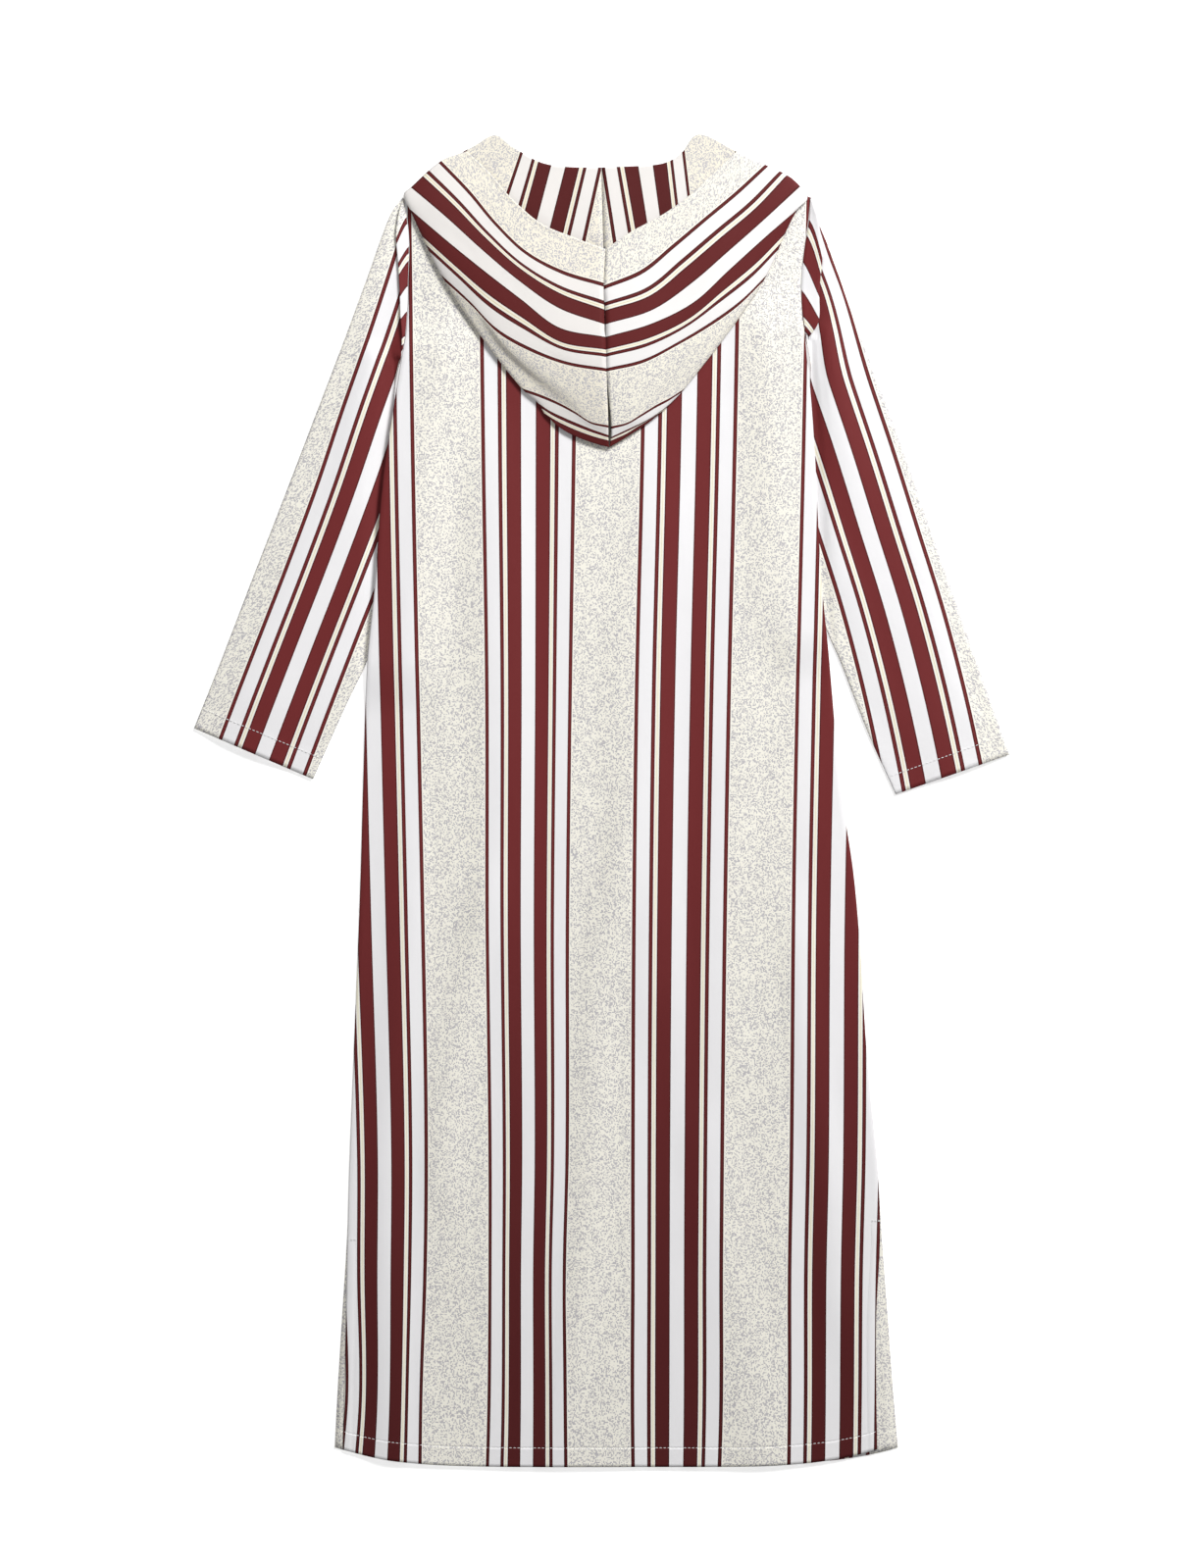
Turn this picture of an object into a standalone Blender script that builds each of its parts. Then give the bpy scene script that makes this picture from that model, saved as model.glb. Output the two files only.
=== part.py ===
"""Hooded striped djellaba robe, laid flat on its front with the hood open over the back.

The robe lies in the XY plane with +Y towards the hood and +Z up. Its origin is under the middle of its
outline, on the surface that it lies on. Each piece of cloth is a closed wall worked out from the sizes and
short tables below. Tables hold millimetres, and everything is made in metres.
"""

from math import hypot, pi, sin

import bmesh
import bpy

MM = 0.001

# Cloth and seams
WALL = 1.0 * MM
SEAM_GAP = 0.3 * MM
ARMHOLE_GAP = 0.5 * MM

# Body
BODY_COLUMNS = 18
SHOULDER_LEVEL = 640.0 * MM
HEM_RISE = 18.7 * MM
HEM_ROUNDING = 5
BACK_NECK_DROP = 18.0 * MM
FRONT_NECK_DROP = 85.0 * MM
NECK_HALF_WIDTH = 97.0 * MM
SHOULDER_RISE = 46.0 * MM
TOP_FADE = 130.0 * MM
HEM_FADE = 120.0 * MM
CENTRE_X = 5.0 * MM

# The body rides up over the part of each sleeve that is tucked under it.
TUCK_LIFT = 4.0 * MM
TUCK_REACH = 38.0 * MM
TUCK_FADE = 50.0 * MM
TUCK_RAMP = 60.0 * MM
ARMPIT_LEFT = 470.0 * MM
ARMPIT_RIGHT = 491.0 * MM
EMERGE_LEFT = 150.0 * MM
EMERGE_RIGHT = 182.0 * MM

# Loft of the back over the front
BACK_LOFT = 1.4 * MM
LOFT_FADE = 45.0 * MM
SHOULDER_FADE = 60.0 * MM

# Sleeves
SLEEVE_COLUMNS = 9
SLEEVE_SPLITS = 2
SLEEVE_GAP = 1.0 * MM
SLEEVE_LOFT = 1.9 * MM
SLEEVE_LOFT_SPAN = 0.78
FOLD_INSET = 1.4 * MM
FOLD_WALL = 1.5 * MM

# Hood
HOOD_ROWS = 18
HOOD_COLUMNS = 9
HOOD_CLEARANCE = 1.0 * MM
HOOD_MOUTH = 7.5 * MM
HOOD_TIP_GAP = 0.6 * MM
HOOD_FOLD_INSET = 3.0 * MM
NECK_CENTRE = (-0.5 * MM, 671.3 * MM)
HOOD_TIP = (7.8 * MM, 374.4 * MM)


def table(names, *rows):
    """Short table: one dictionary in metres for each row of millimetres, keyed by column name."""
    keys = names.split()
    return [dict(zip(keys, (value * MM for value in row))) for row in rows]


# Side edges of the body, from shoulder to hem. Front and back part below the vents.
SIDE_EDGES = table(
    "level front_left back_left back_right front_right",
    (640, -210, -210, 221, 221),
    (615, -206, -206, 219, 219),
    (590, -204, -204, 215, 215),
    (551, -205, -205, 211, 211),
    (519, -206, -206, 212, 212),
    (494, -208, -208, 215, 215),
    (470, -212, -212, 217, 217),
    (432, -218, -218, 221, 221),
    (361, -229, -229, 226, 226),
    (317, -234, -234, 228, 228),
    (230, -240, -240, 233, 233),
    (150, -248, -248, 241, 241),
    (18, -253, -253, 253, 253),
    (-86, -256, -256, 268, 268),
    (-294, -264, -264, 283, 283),
    (-398, -268, -268, 293, 293),
    (-463, -270, -269.5, 295, 297),
    (-544, -275, -271, 291, 303),
    (-627, -280, -273, 291, 309),
    (-687, -283, -274.5, 292, 314),
)

# Levels of the body's cross rows: close together over the armholes and tucks, wider below.
LEVEL_RUNS = table("start stop step", (640, 440, 20), (440, 120, 26.7), (120, -687.1, 73.4))

# Soft folds that run down the back: middle line at the top and the hem, half width, height, and ends.
BACK_FOLDS = table(
    "top_x hem_x half_width height top_y hem_y",
    (-96, -120, 38, 0.9, 420, -560),
    (-20, -35, 44, 0.7, 330, -687),
    (62, 58, 40, 0.9, 380, -600),
    (150, 175, 46, 0.8, 450, -640),
)

# Sleeve sections from armhole to cuff: the outer fold and the inner, underarm, fold.
LEFT_SLEEVE = table(
    "outer_x outer_y inner_x inner_y",
    (-210, 640, -212, 470),
    (-225, 619, -219.5, 434),
    (-251, 548, -218, 382),
    (-278, 475, -212, 319),
    (-309, 394, -215, 257),
    (-338.5, 317, -230, 205),
    (-370, 236, -248, 150),
    (-401, 155, -271, 101),
    (-432, 77, -306, 23),
)
RIGHT_SLEEVE = table(
    "outer_x outer_y inner_x inner_y",
    (221, 640, 215, 491),
    (228, 617, 221.5, 454),
    (246, 573, 217, 402),
    (270, 504, 206.5, 340),
    (297, 434, 208.5, 278),
    (325, 357, 223, 226),
    (353, 276, 238, 182),
    (379, 201, 255, 142),
    (406, 124, 281, 75),
    (432, 49, 311.5, 7),
)

# Hood outlines: the side fold from the face edge to the tip, the face edge and the neck edge.
LEFT_SIDE_FOLD = table(
    "x y",
    (-143, 688.5),
    (-172, 677),
    (-203, 650),
    (-209, 640),
    (-202, 626),
    (-182.5, 583),
    (-167, 553),
    (-132, 496),
    (-87, 439),
    (-45, 397),
    (-16, 379.5),
    (-4, 376),
)
RIGHT_SIDE_FOLD = table(
    "x y",
    (143, 688.5),
    (173, 674),
    (210, 651),
    (219, 637.5),
    (208, 626),
    (193, 584.5),
    (171, 550),
    (145, 508.5),
    (123, 479),
    (85, 431.5),
    (43, 395),
    (28, 382.5),
    (18, 377),
)
LEFT_FACE_EDGE = table(
    "x y",
    (1.9, 583.4),
    (-18, 588.5),
    (-41, 601),
    (-70, 613.5),
    (-101, 641.5),
    (-117, 662.5),
    (-128.5, 677),
    (-143, 688.5),
)
RIGHT_FACE_EDGE = table(
    "x y",
    (1.9, 583.4),
    (12, 584.5),
    (36, 603),
    (65, 620),
    (94, 642.5),
    (112, 660.5),
    (134, 681),
    (143, 688.5),
)
LEFT_NECK_EDGE = table("x y", (-0.5, 671.3), (-37, 672), (-65, 677), (-95, 694), (-114, 706), (-143, 688.5))
RIGHT_NECK_EDGE = table("x y", (-0.5, 671.3), (55, 674), (73, 679), (86, 688.5), (103.5, 707), (143, 688.5))

COLOURS = {
    "speckled_cloth": (0.80, 0.77, 0.68),
    "striped_cloth": (0.16, 0.035, 0.04),
    "sleeve_cloth": (0.72, 0.70, 0.66),
    "hood_cloth": (0.20, 0.05, 0.055),
}
CLOTH_ROUGHNESS = 0.72
CLOTH_METALLIC = 0.0


def smooth(value):
    """Ease from 0 to 1 with flat ends."""
    value = min(max(value, 0.0), 1.0)
    return value * value * (3.0 - 2.0 * value)


def mix(first, second, share):
    return first + (second - first) * share


def read(rows, key, value, name):
    """Column name of a table at the given value of its key column, whose values fall down the rows."""
    for upper, lower in zip(rows, rows[1:]):
        if value >= lower[key]:
            share = (upper[key] - value) / (upper[key] - lower[key])
            return mix(upper[name], lower[name], max(share, 0.0))
    return rows[-1][name]


def body_levels():
    """Levels of the body's cross rows, from the shoulders down."""
    levels = [LEVEL_RUNS[0]["start"]]
    for run in LEVEL_RUNS:
        count = round((run["start"] - run["stop"]) / run["step"])
        levels += [mix(run["start"], run["stop"], (row + 1) / count) for row in range(count)]
    return levels


LEVELS = body_levels()
EDGE_ROWS = [{name: read(SIDE_EDGES, "level", level, name) for name in SIDE_EDGES[0]} for level in LEVELS]


def side_edge(name, level):
    """Edge of the body's facets at any level."""
    return read(EDGE_ROWS, "level", level, name)


def tuck_share(level, armpit, emerge):
    """How fully the body is lifted at a level: 1 over the tucked sleeve, 0 well above and below it."""
    above = smooth((armpit + TUCK_RAMP - level) / TUCK_RAMP)
    below = smooth((level - emerge + TUCK_RAMP) / TUCK_RAMP)
    return above * below


def lift(x, level):
    """Height of the front panel over the surface, where it rides over the tucked sleeves."""
    share = 0.0
    for inside, armpit, emerge in (
        (x - side_edge("front_left", level), ARMPIT_LEFT, EMERGE_LEFT),
        (side_edge("front_right", level) - x, ARMPIT_RIGHT, EMERGE_RIGHT),
    ):
        share += tuck_share(level, armpit, emerge) * (1 - smooth((inside - TUCK_REACH) / TUCK_FADE))
    return TUCK_LIFT * share


def fold_height(x, level):
    """Height of the soft folds of the back."""
    height = 0.0
    for fold in BACK_FOLDS:
        share = (fold["top_y"] - level) / (fold["top_y"] - fold["hem_y"])
        middle = mix(fold["top_x"], fold["hem_x"], share)
        across = max(0.0, 1 - ((x - middle) / fold["half_width"]) ** 2) ** 2
        along = smooth(share * 5) * smooth((1.15 - share) * 5)
        height += fold["height"] * across * along
    return height


def back_loft(x, level):
    """Height of the back over its seam gap: none at the seams, more in the middle."""
    inside = min(x - side_edge("back_left", level), side_edge("back_right", level) - x)
    fade = smooth(inside / LOFT_FADE) * smooth((SHOULDER_LEVEL - level) / SHOULDER_FADE)
    return fade * (BACK_LOFT + fold_height(x, level))


def back_top(x, level):
    """Top of the back panel."""
    return lift(x, level) + WALL + SEAM_GAP + back_loft(x, level) + WALL


def add_piece(name, rows_outer, rows_inner, closed_round, material):
    """Closed wall of cloth between two grids of points, one of them its outside.

    A tube is closed round across its columns and open at its two ends, where the wall shows its thickness.
    """
    rows = len(rows_outer)
    columns = len(rows_outer[0])
    work = bmesh.new()
    outside = [[work.verts.new(point) for point in row] for row in rows_outer]
    inside = [[work.verts.new(point) for point in row] for row in rows_inner]
    across = [(column, (column + 1) % columns) for column in range(columns if closed_round else columns - 1)]
    for row in range(rows - 1):
        for here, there in across:
            for side in (outside, inside):
                work.faces.new((side[row][here], side[row][there], side[row + 1][there], side[row + 1][here]))
    for row in (0, rows - 1):
        for here, there in across:
            work.faces.new((outside[row][here], outside[row][there], inside[row][there], inside[row][here]))
    if not closed_round:
        for column in (0, columns - 1):
            for row in range(rows - 1):
                ends = (outside[row][column], outside[row + 1][column])
                work.faces.new(ends + (inside[row + 1][column], inside[row][column]))
    bmesh.ops.recalc_face_normals(work, faces=work.faces[:])
    mesh = bpy.data.meshes.new(name)
    work.to_mesh(mesh)
    work.free()
    mesh.shade_smooth()
    mesh.set_sharp_from_angle(angle=pi / 4)
    mesh.materials.append(material)
    piece = bpy.data.objects.new(name, mesh)
    bpy.context.scene.collection.objects.link(piece)
    return piece


def make_material(name):
    material = bpy.data.materials.new(name)
    material.use_nodes = True
    shader = material.node_tree.nodes["Principled BSDF"]
    shader.inputs["Base Color"].default_value = (*COLOURS[name], 1.0)
    shader.inputs["Roughness"].default_value = CLOTH_ROUGHNESS
    shader.inputs["Metallic"].default_value = CLOTH_METALLIC
    return material


def top_line(x, neck_drop):
    """Height of a panel's top edge over the shoulder level: shoulder slopes and a scooped neck."""
    reach = abs(x - CENTRE_X)
    if reach < NECK_HALF_WIDTH:
        return SHOULDER_RISE - neck_drop * (1 - (reach / NECK_HALF_WIDTH) ** 2) ** 0.5
    half_shoulder = (side_edge("back_right", SHOULDER_LEVEL) - side_edge("back_left", SHOULDER_LEVEL)) / 2
    return SHOULDER_RISE * max(0.0, half_shoulder - reach) / (half_shoulder - NECK_HALF_WIDTH)


def panel_plan(left_name, right_name, neck_drop):
    """Rows of plan points of a body panel with the level that each row stands for."""
    rows = []
    hem_level = LEVELS[-1]
    for level in LEVELS:
        left = side_edge(left_name, level)
        right = side_edge(right_name, level)
        row = []
        for column in range(BODY_COLUMNS + 1):
            across = 2 * column / BODY_COLUMNS - 1
            x = mix(left, right, column / BODY_COLUMNS)
            raised = top_line(x, neck_drop) * (1 - smooth((SHOULDER_LEVEL - level) / TOP_FADE))
            dropped = HEM_RISE * (1 - abs(across) ** HEM_ROUNDING)
            dropped *= 1 - smooth((level - hem_level) / HEM_FADE)
            row.append((x, level + raised - dropped, level))
        rows.append(row)
    return rows


def make_front():
    plan = panel_plan("front_left", "front_right", FRONT_NECK_DROP)
    bottom = [[(x, y, lift(x, level)) for x, y, level in row] for row in plan]
    top = [[(x, y, z + WALL) for x, y, z in row] for row in bottom]
    add_piece("front_panel", bottom, top, False, make_material("speckled_cloth"))


def make_back():
    plan = panel_plan("back_left", "back_right", BACK_NECK_DROP)
    top = [[(x, y, back_top(x, level)) for x, y, level in row] for row in plan]
    bottom = [[(x, y, z - WALL) for x, y, z in row] for row in top]
    add_piece("back_panel", top, bottom, False, make_material("striped_cloth"))


def sleeve_section(sections, position):
    """Outer and inner fold at a position counted in sections from the armhole."""
    first = min(int(position), len(sections) - 2)
    share = position - first
    return {key: mix(sections[first][key], sections[first + 1][key], share) for key in sections[0]}


def sleeve_plan(sections, edge_name, outward, position, share):
    """Plan point of a sleeve, from its outer fold at share 0 to its inner fold at share 1."""
    section = sleeve_section(sections, position)
    x = mix(section["outer_x"], section["inner_x"], share)
    y = mix(section["outer_y"], section["inner_y"], share)
    at_armhole = max(0.0, 1 - position)
    if at_armhole > 0:
        seam_y = mix(sections[0]["outer_y"], sections[0]["inner_y"], share)
        seam_x = side_edge(edge_name, seam_y) + outward * ARMHOLE_GAP
        straight_x = mix(sections[0]["outer_x"], sections[0]["inner_x"], share)
        x += (seam_x - straight_x) * at_armhole
    return x, y


def make_sleeve(name, sections, edge_name, outward, armpit, emerge, material):
    """Flattened tube from the armhole to the cuff, open at both ends."""
    rows_outer = []
    rows_inner = []
    steps = (len(sections) - 1) * SLEEVE_SPLITS
    for step in range(steps + 1):
        position = step / SLEEVE_SPLITS
        section = sleeve_section(sections, position)
        width = hypot(section["outer_x"] - section["inner_x"], section["outer_y"] - section["inner_y"])
        opening = mix(SEAM_GAP, SLEEVE_GAP, smooth(position / 2))
        outer_below, outer_above, inner_below, inner_above = [], [], [], []
        for column in range(SLEEVE_COLUMNS + 1):
            along = column / SLEEVE_COLUMNS
            seam_y = mix(sections[0]["outer_y"], sections[0]["inner_y"], along)
            floor = TUCK_LIFT * tuck_share(seam_y, armpit, emerge) * max(0.0, 1 - position)
            loft = SLEEVE_LOFT * sin(pi * min(along / SLEEVE_LOFT_SPAN, 1.0)) ** 2 * smooth(position / 3)
            ends = (FOLD_INSET / width, (FOLD_INSET + FOLD_WALL / 2) / width)
            near, far = (min(max(along, end), 1 - end) for end in ends)
            x, y = sleeve_plan(sections, edge_name, outward, position, near)
            outer_below.append((x, y, floor))
            outer_above.append((x, y, floor + 2 * WALL + opening + loft))
            x, y = sleeve_plan(sections, edge_name, outward, position, far)
            inner_below.append((x, y, floor + WALL))
            inner_above.append((x, y, floor + WALL + opening + loft))
        folds = []
        for inset in (0.0, FOLD_WALL / width):
            for side, along in ((0, inset), (1, 1 - inset)):
                x, y = sleeve_plan(sections, edge_name, outward, position, along)
                below = outer_below[-side]
                folds.append((x, y, below[2] + WALL + opening / 2))
        outer_start, outer_end, inner_start, inner_end = folds
        rows_outer.append([outer_start] + outer_below + [outer_end] + outer_above[::-1])
        rows_inner.append([inner_start] + inner_below + [inner_end] + inner_above[::-1])
    add_piece(name, rows_outer, rows_inner, True, material)


def path_point(path, share):
    """Point at a share of a path's length."""
    lengths = [hypot(b["x"] - a["x"], b["y"] - a["y"]) for a, b in zip(path, path[1:])]
    target = share * sum(lengths)
    for start, end, length in zip(path, path[1:], lengths):
        if target <= length:
            part = target / length
            return mix(start["x"], end["x"], part), mix(start["y"], end["y"], part)
        target -= length
    return path[-1]["x"], path[-1]["y"]


def hood_centre_x(y):
    """Line of the hood's centre seam."""
    share = (NECK_CENTRE[1] - y) / (NECK_CENTRE[1] - HOOD_TIP[1])
    return mix(NECK_CENTRE[0], HOOD_TIP[0], share)


def hood_plan(edge, side_fold, outward, down, across):
    """Plan point of one layer of half the hood: down from its top edge, across from the centre seam."""
    centre_y = mix(edge[0]["y"], HOOD_TIP[1], down)
    centre_x = hood_centre_x(centre_y) + outward * SEAM_GAP / 2
    fold_x, fold_y = path_point(side_fold, down)
    edge_x, edge_y = path_point(edge, across)
    edge_keep = (1 - down) ** 2
    bow_x = edge_x - mix(edge[0]["x"], edge[-1]["x"], across)
    bow_y = edge_y - mix(edge[0]["y"], edge[-1]["y"], across)
    x = mix(centre_x, fold_x, across) + bow_x * edge_keep
    y = mix(centre_y, fold_y, across) + bow_y * edge_keep
    return x, y


def hood_hollow(down, across):
    """Height of the hollow between the hood's two layers."""
    return HOOD_TIP_GAP + (HOOD_MOUTH - HOOD_TIP_GAP) * (1 - smooth(down)) * (1 - across**4)


def step_back(tip, before, distance):
    """Point at a distance from the tip of a row, towards the point before it."""
    reach = hypot(tip[0] - before[0], tip[1] - before[1])
    return mix(tip[0], before[0], distance / reach), mix(tip[1], before[1], distance / reach)


def make_hood_half(name, side_fold, face_edge, neck_edge, outward, material):
    """Half the hood: an under layer from the neck edge, a side fold, and an upper layer to the face edge."""
    rows_outer = []
    rows_inner = []
    for row in range(HOOD_ROWS + 1):
        down = row / HOOD_ROWS
        layers = {}
        for layer, edge in (("under", neck_edge), ("upper", face_edge)):
            plan = [
                hood_plan(edge, side_fold, outward, down, column / HOOD_COLUMNS)
                for column in range(HOOD_COLUMNS + 1)
            ]
            reach = hypot(plan[-1][0] - plan[-2][0], plan[-1][1] - plan[-2][1])
            inset = min(HOOD_FOLD_INSET, reach / 3)
            layers[layer] = plan[:-1], step_back(plan[-1], plan[-2], inset), plan[-1]
        outer, inner = [], []
        plan, before_fold, fold = layers["under"]
        for x, y in plan + [before_fold]:
            bottom = back_top(x, y) + HOOD_CLEARANCE
            outer.append((x, y, bottom))
            inner.append((x, y, bottom + WALL))
        under_end = inner[-1]
        plan, before_fold, _ = layers["upper"]
        above_outer, above_inner = [], []
        for column, (x, y) in enumerate(plan + [before_fold]):
            bottom = back_top(x, y) + HOOD_CLEARANCE + WALL + hood_hollow(down, column / HOOD_COLUMNS)
            above_outer.append((x, y, bottom + WALL))
            above_inner.append((x, y, bottom))
        middle = (outer[-1][2] + above_outer[-1][2]) / 2
        heart = ((under_end[0] + before_fold[0]) / 2, (under_end[1] + before_fold[1]) / 2)
        reach = hypot(fold[0] - heart[0], fold[1] - heart[1])
        inner_fold = step_back(fold, heart, min(FOLD_WALL, reach * 0.6))
        outer.append((*fold, middle))
        inner.append((*inner_fold, middle))
        rows_outer.append(outer + above_outer[::-1])
        rows_inner.append(inner + above_inner[::-1])
    add_piece(name, rows_outer, rows_inner, False, material)


def main():
    for item in list(bpy.data.objects):
        bpy.data.objects.remove(item)
    make_front()
    make_back()
    sleeve_cloth = make_material("sleeve_cloth")
    make_sleeve("sleeve_left", LEFT_SLEEVE, "front_left", -1, ARMPIT_LEFT, EMERGE_LEFT, sleeve_cloth)
    make_sleeve("sleeve_right", RIGHT_SLEEVE, "front_right", 1, ARMPIT_RIGHT, EMERGE_RIGHT, sleeve_cloth)
    hood_cloth = make_material("hood_cloth")
    make_hood_half("hood_left", LEFT_SIDE_FOLD, LEFT_FACE_EDGE, LEFT_NECK_EDGE, -1, hood_cloth)
    make_hood_half("hood_right", RIGHT_SIDE_FOLD, RIGHT_FACE_EDGE, RIGHT_NECK_EDGE, 1, hood_cloth)


main()
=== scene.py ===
"""Looks of a hooded striped djellaba robe that lies flat, front down, with its hood open over the back.

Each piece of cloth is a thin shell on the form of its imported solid, with the print laid out on its flat
pattern: one UV unit is one metre of cloth, across the stripes and along them. Tables hold millimetres and
the meshes are metres. +Y points to the hood and +Z up.
"""

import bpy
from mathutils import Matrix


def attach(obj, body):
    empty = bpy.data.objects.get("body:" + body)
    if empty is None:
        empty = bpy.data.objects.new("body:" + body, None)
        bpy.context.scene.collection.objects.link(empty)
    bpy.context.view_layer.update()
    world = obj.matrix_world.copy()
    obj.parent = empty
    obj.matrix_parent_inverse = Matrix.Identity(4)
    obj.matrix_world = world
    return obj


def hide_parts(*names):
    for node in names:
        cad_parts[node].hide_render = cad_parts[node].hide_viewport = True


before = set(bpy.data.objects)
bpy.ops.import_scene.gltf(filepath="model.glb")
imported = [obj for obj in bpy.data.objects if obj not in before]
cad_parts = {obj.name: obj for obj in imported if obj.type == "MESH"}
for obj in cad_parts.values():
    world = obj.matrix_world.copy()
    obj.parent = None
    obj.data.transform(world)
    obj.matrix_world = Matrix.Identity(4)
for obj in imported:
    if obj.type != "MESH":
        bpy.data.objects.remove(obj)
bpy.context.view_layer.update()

from functools import lru_cache
from math import cos, hypot, pi, sin

import bmesh
import bpy
from mathutils import Matrix, Vector

bl_info = {
    "name": "Striped djellaba robe",
    "version": (1, 0, 0),
    "blender": (4, 5, 0),
    "location": "3D View > Sidebar > Robe",
    "description": "Builds the cloth, the stitching and the studio of a striped hooded robe laid flat",
    "category": "Object",
}

MM = 0.001
BODY = "root"

# --- Sizes of the cloth ---

SHOULDER_LEVEL = 640.0
HEM_LEVEL = -687.1
HEM_RISE = 18.7
HEM_ROUNDING = 5
HEM_FADE = 120.0
BACK_NECK_DROP = 18.0
FRONT_NECK_DROP = 85.0
NECK_HALF_WIDTH = 97.0
HALF_SHOULDER = 215.5
SHOULDER_RISE = 46.0
TOP_FADE = 130.0
CENTRE_X = 5.0

# The body rides up over the part of each sleeve that is tucked under it.
TUCK_LIFT = 5.5
TUCK_REACH = 38.0
TUCK_FADE = 50.0
TUCK_RAMP = 60.0
ARMPITS = (470.0, 491.0)
EMERGES = (150.0, 182.0)

FRONT_TOP = 0.9
FRONT_SHORTER = 1.6
BACK_TOP = 2.3
EDGE_ROLL = 5.0
EDGE_DROP = 1.1
HEM_STITCH = 19.0
VENT_STITCH = 9.0
VENT_TOP_LEFT = -465.0
VENT_TOP_RIGHT = -445.0
FRONT_CENTRE_X = 15.5
FRONT_PRINT_START = 66.5

SLEEVE_TOP = 3.2
SLEEVE_CLEARANCE = 0.3
SEAM_HEIGHT = 1.7
ARMHOLE_GAP = 0.5
CUFF_STITCH = 22.0
# Sleeve between two rows of its table near the cuff, and the share of its grid that makes the head.
SECTION_LENGTH = 82.0
HEAD_ROWS = 0.09

HOOD_LIFT = 1.0
# Height between the hood's two layers along its centre seam and its side folds, from face edge to tip.
HOOD_RIDGE = ((0.0, 0.25, 0.5, 0.75, 1.0), (12.0, 17.0, 18.5, 13.0, 3.5))
HOOD_SIDE = ((0.0, 0.25, 0.5, 0.75, 1.0), (3.0, 4.6, 5.2, 4.4, 2.4))
FACE_HEM = 4.0

# Shift of each kind of piece along the flat pattern, which keeps the kinds apart there.
BACK_START = 900
FRONT_START = 2900
SLEEVE_START = 5000
HEAD_START = 7000
HOOD_MIDDLE = 9000
NAPE_START = 9600


def table(names, *rows):
    """Short table: one dictionary for each row, keyed by column name."""
    keys = names.split()
    return [dict(zip(keys, row)) for row in rows]


# Side edges of the body, from shoulder to hem. Front and back part below the vents.
SIDE_EDGES = table(
    "level front_left back_left back_right front_right",
    (640, -210, -210, 221, 221),
    (615, -206, -206, 219, 219),
    (590, -204, -204, 215, 215),
    (551, -205, -205, 211, 211),
    (519, -206, -206, 212, 212),
    (494, -208, -208, 215, 215),
    (470, -212, -212, 217, 217),
    (432, -218, -218, 221, 221),
    (361, -229, -229, 226, 226),
    (317, -234, -234, 228, 228),
    (230, -240, -240, 233, 233),
    (150, -248, -248, 241, 241),
    (18, -253, -253, 253, 253),
    (-86, -256, -256, 268, 268),
    (-294, -264, -264, 283, 283),
    (-398, -268, -268, 293, 293),
    (-463, -270, -269.5, 295, 297),
    (-544, -275, -271, 291, 303),
    (-627, -280, -273, 291, 309),
    (-687, -283, -274.5, 292, 314),
)

# Where the back's stripe edges lie at a level. Each column's name stands for a place on the flat pattern.
BACK_PRINT = (-248.0, -167.5, -99.0, 0.0, 68.5, 167.5, 236.0, 316.4)
BACK_STRIPES = table(
    "level e0 e1 e2 e3 e4 e5 e6 e7",
    (640, -282, -202, -131, -24, 45, 148, 217, 297),
    (371, -279, -198, -127.5, -27.5, 41, 143, 211.5, 292),
    (122, -273.5, -193, -123.5, -31.5, 35, 137, 205.5, 286),
    (-128, -267, -187.5, -123, -34.5, 32, 132.5, 201, 280.5),
    (-378, -258.5, -184, -120, -35, 31, 129.5, 199, 279),
    (-502, -258.5, -185.5, -120, -38, 31, 128.5, 197, 276),
    (-627, -256.5, -190, -121, -37, 30.5, 128.5, 197, 275),
    (-706, -262, -191, -123.5, -36, 31.5, 126, 196, 274),
)

# Soft folds that run down the back: middle line at the top and the hem, half width, height, and ends.
BACK_FOLDS = table(
    "top_x hem_x half_width height top_y hem_y",
    (-105, -112, 46, 3.4, 430, -160),
    (48, 42, 50, 3.4, 410, -230),
    (32, -40, 32, 3.4, 60, -640),
    (-112, -172, 30, 2.89, -40, -420),
    (208, 246, 28, 3.06, -60, -560),
    (150, 128, 40, 2.04, 380, -300),
    (-205, -232, 30, 2.55, 80, -687),
    (110, 160, 44, 2.21, -300, -687),
)

# Sleeve sections from armhole to cuff: the outer fold and the inner, underarm, fold.
LEFT_SLEEVE = table(
    "outer_x outer_y inner_x inner_y",
    (-210, 640, -212, 470),
    (-225, 619, -219.5, 434),
    (-251, 548, -218, 382),
    (-278, 475, -212, 319),
    (-309, 394, -215, 257),
    (-338.5, 317, -230, 205),
    (-370, 236, -248, 150),
    (-401, 155, -271, 101),
    (-432, 77, -306, 23),
)
RIGHT_SLEEVE = table(
    "outer_x outer_y inner_x inner_y",
    (221, 640, 215, 491),
    (228, 617, 221.5, 454),
    (246, 573, 217, 402),
    (270, 504, 206.5, 340),
    (297, 434, 208.5, 278),
    (325, 357, 223, 226),
    (353, 276, 238, 182),
    (379, 201, 255, 142),
    (406, 124, 281, 75),
    (432, 49, 311.5, 7),
)

# The line of each sleeve's outermost stripe.
LEFT_SLEEVE_LINE = table(
    "level x",
    (640, -202), (587, -218.5), (496, -248), (413, -277.2), (330, -305.2), (246, -336.4),
    (163, -368.7), (90, -396.8), (10, -427.0),
)
RIGHT_SLEEVE_LINE = table(
    "level x",
    (640, 224), (579, 243), (538, 258), (455, 283), (371, 311), (288, 337), (205, 363), (122, 385),
    (39, 403.5), (0, 411.0),
)

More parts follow.
